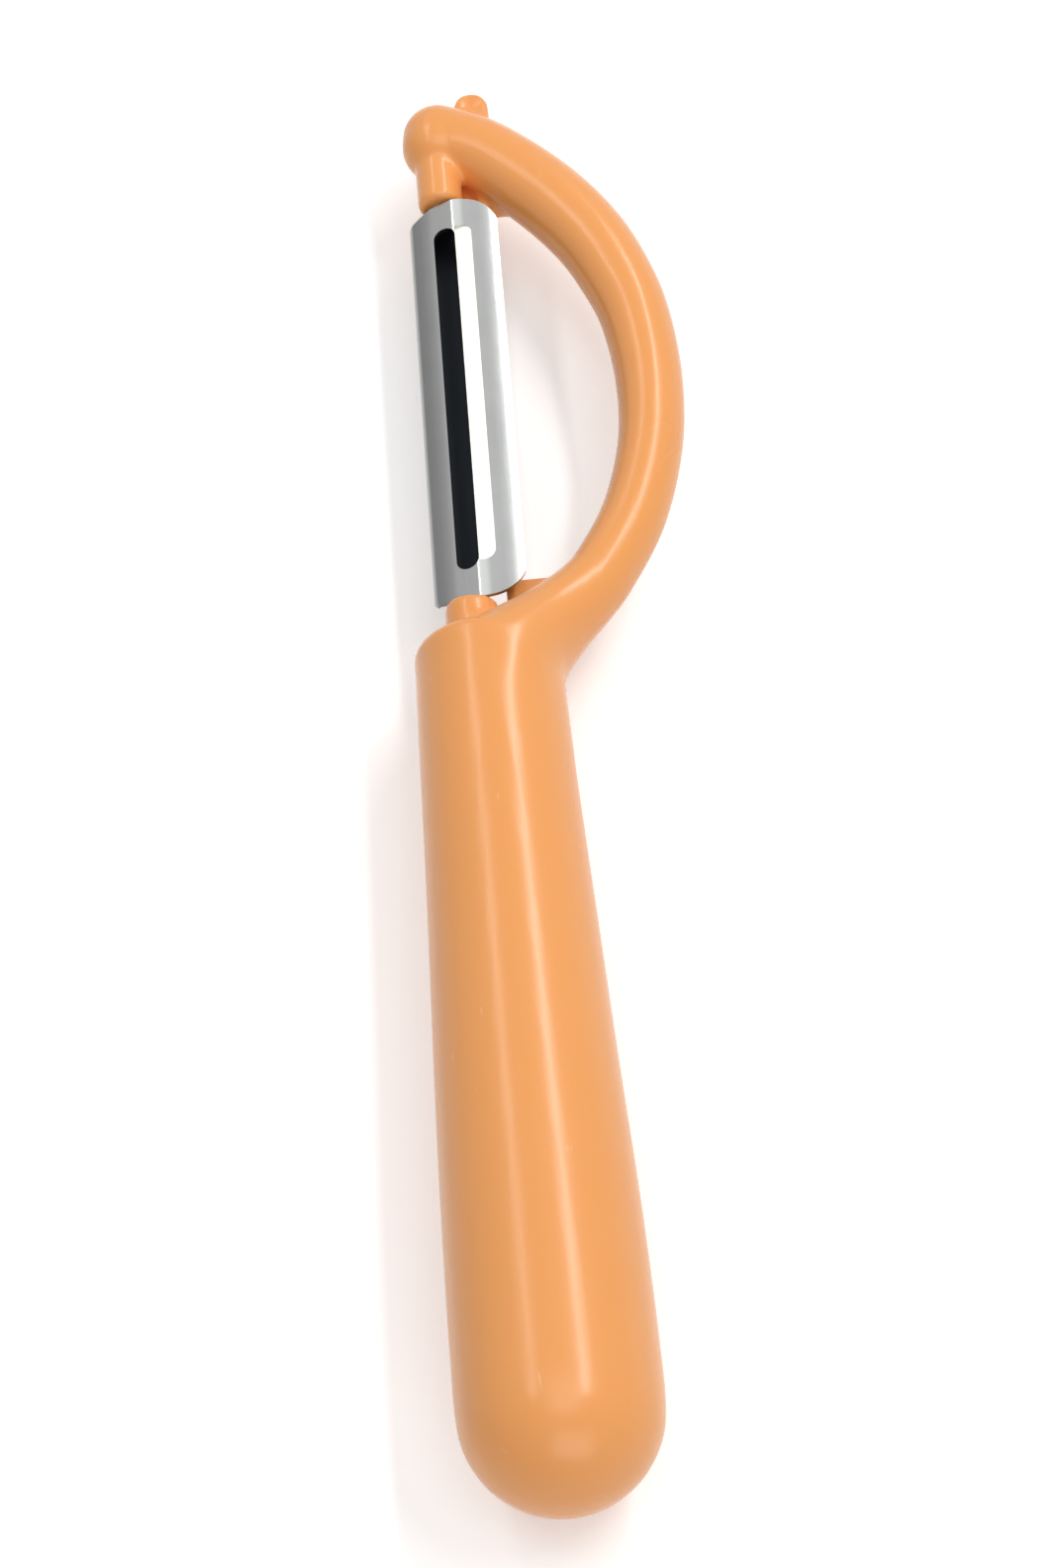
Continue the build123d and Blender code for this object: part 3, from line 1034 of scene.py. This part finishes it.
class PEELER_OT_pins(Operator):
    """Gives the two pivot pins their steel"""

    bl_idname = "peeler.dress_pins"
    bl_label = "Pivot pins"

    def execute(self, context):
        settings = context.scene.peeler_blade
        steel = steel_material("pin_steel", settings.steel, roughness=0.35, grain_along=False)
        for name in ("handle_pivot_pin", "head_pivot_pin"):
            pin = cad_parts[name]
            pin.data.materials.clear()
            pin.data.materials.append(steel)
        return {"FINISHED"}


def seen_by(tree, *rays):
    """1 for the named kinds of ray, 0 for the others."""
    paths = tree.nodes.new("ShaderNodeLightPath")
    value = paths.outputs[rays[0]]
    for ray in rays[1:]:
        value = math_step(tree, "MAXIMUM", value, paths.outputs[ray])
    return value


class PEELER_OT_stage(Operator):
    """Sets the camera, the lamps, the world and the floor"""

    bl_idname = "peeler.set_stage"
    bl_label = "Stage"

    def execute(self, context):
        settings = context.scene.peeler_stage
        self.camera(context, settings)
        self.lamps()
        self.world(context)
        self.floor(settings)
        context.scene.view_settings.view_transform = "Standard"
        return {"FINISHED"}

    @staticmethod
    def camera(context, settings):
        """Looks from the photograph's place."""
        rise, roll = settings.height_angle, settings.roll
        forward = Vector((0, math.cos(rise), -math.sin(rise)))
        right_level = Vector((1, 0, 0))
        up_level = right_level.cross(forward)
        right = right_level * math.cos(roll) - up_level * math.sin(roll)
        up = right_level * math.sin(roll) + up_level * math.cos(roll)
        data = bpy.data.cameras.new("photo_camera")
        data.lens = settings.lens
        data.sensor_width = SENSOR
        data.clip_start = NEAREST
        camera = link_new("photo_camera", data)
        place = Vector(AIM) * MM - forward * settings.distance
        facing = Matrix((right, up, -forward)).transposed().to_4x4()
        camera.matrix_world = Matrix.Translation(place) @ facing
        context.scene.camera = camera

    @staticmethod
    def lamps():
        """Soft boxes that face the peeler: a strong strip, a weak one and two wide ones."""
        for name, place, width, height, power in LAMPS:
            lamp = bpy.data.lights.new(name, "AREA")
            lamp.shape = "RECTANGLE"
            lamp.size = width
            lamp.size_y = height
            lamp.energy = power
            away = Vector(place).normalized()
            long_axis = (Vector((0, 1, 0)) - away * away.y).normalized()
            facing = Matrix((long_axis.cross(away), long_axis, away)).transposed().to_4x4()
            link_new(name, lamp).matrix_world = Matrix.Translation(Vector(place)) @ facing

    @staticmethod
    def world(context):
        """White to the camera, in reflections and through glass, softer as light."""
        world = bpy.data.worlds.new("studio")
        context.scene.world = world
        world.use_nodes = True
        tree = world.node_tree
        sky = next(node for node in tree.nodes if node.type == "BACKGROUND")
        sky.inputs["Color"].default_value = (1, 1, 1, 1)
        seen = seen_by(tree, "Is Camera Ray", "Is Glossy Ray", "Is Transmission Ray")
        join(tree, spread(tree, seen, WORLD_LIGHT, 1), sky.inputs["Strength"])

    @classmethod
    def floor(cls, settings):
        """A wide pale floor just under the handle."""
        low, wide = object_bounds()[0][2] - FLOOR_GAP * MM, FLOOR_HALF
        shape = bmesh.new()
        corners = [(-wide, -wide, low), (wide, -wide, low), (wide, wide, low), (-wide, wide, low)]
        shape.faces.new([shape.verts.new(corner) for corner in corners])
        mesh = bmesh_to_mesh("floor", shape)
        mesh.materials.append(cls.floor_material(settings))
        link_new("floor", mesh)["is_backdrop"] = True

    @staticmethod
    def floor_material(settings):
        """Matt pale paint that glows a little to the camera and in reflections."""
        material, tree, shader = new_material("pale_floor")
        shader.inputs["Base Color"].default_value = (*settings.floor, 1)
        shader.inputs["Roughness"].default_value = 0.9
        shader.inputs["Specular IOR Level"].default_value = 0.1
        glow = tree.nodes.new("ShaderNodeEmission")
        seen = seen_by(tree, "Is Camera Ray", "Is Glossy Ray")
        join(tree, spread(tree, seen, 0, FLOOR_GLOW), glow.inputs["Strength"])
        both = tree.nodes.new("ShaderNodeAddShader")
        out = next(node for node in tree.nodes if node.type == "OUTPUT_MATERIAL")
        join(tree, shader.outputs["BSDF"], both.inputs[0])
        join(tree, glow.outputs["Emission"], both.inputs[1])
        join(tree, both.outputs["Shader"], out.inputs["Surface"])
        return material


GROUPS = [
    ("Body", "peeler_body", ["peeler.make_body"]),
    ("Blade and pins", "peeler_blade", ["peeler.make_blade", "peeler.dress_pins"]),
    ("Stage", "peeler_stage", ["peeler.set_stage"]),
]


class PEELER_PT_panel(Panel):
    """Lists the peeler's pieces and their sizes"""

    bl_idname = "PEELER_PT_panel"
    bl_label = "Peeler"
    bl_space_type = "VIEW_3D"
    bl_region_type = "UI"
    bl_category = "Peeler"

    def draw(self, context):
        for title, group, operators in GROUPS:
            box = self.layout.box()
            box.label(text=title)
            settings = getattr(context.scene, group)
            for name in settings.__annotations__:
                box.prop(settings, name)
            for operator in operators:
                box.operator(operator)


CLASSES = [
    PeelerBodySettings,
    PeelerBladeSettings,
    PeelerStageSettings,
    PEELER_OT_body,
    PEELER_OT_blade,
    PEELER_OT_pins,
    PEELER_OT_stage,
    PEELER_PT_panel,
]


def register():
    """Registers the classes and hangs the settings on the scene."""
    for item in CLASSES:
        bpy.utils.register_class(item)
    bpy.types.Scene.peeler_body = PointerProperty(type=PeelerBodySettings)
    bpy.types.Scene.peeler_blade = PointerProperty(type=PeelerBladeSettings)
    bpy.types.Scene.peeler_stage = PointerProperty(type=PeelerStageSettings)


def unregister():
    """Takes the settings and classes away again."""
    del bpy.types.Scene.peeler_stage
    del bpy.types.Scene.peeler_blade
    del bpy.types.Scene.peeler_body
    for item in reversed(CLASSES):
        bpy.utils.unregister_class(item)


def main():
    """Makes every piece in order."""
    register()
    bpy.ops.peeler.set_stage()
    bpy.ops.peeler.make_body()
    bpy.ops.peeler.make_blade()
    bpy.ops.peeler.dress_pins()


if __name__ == "__main__":
    main()
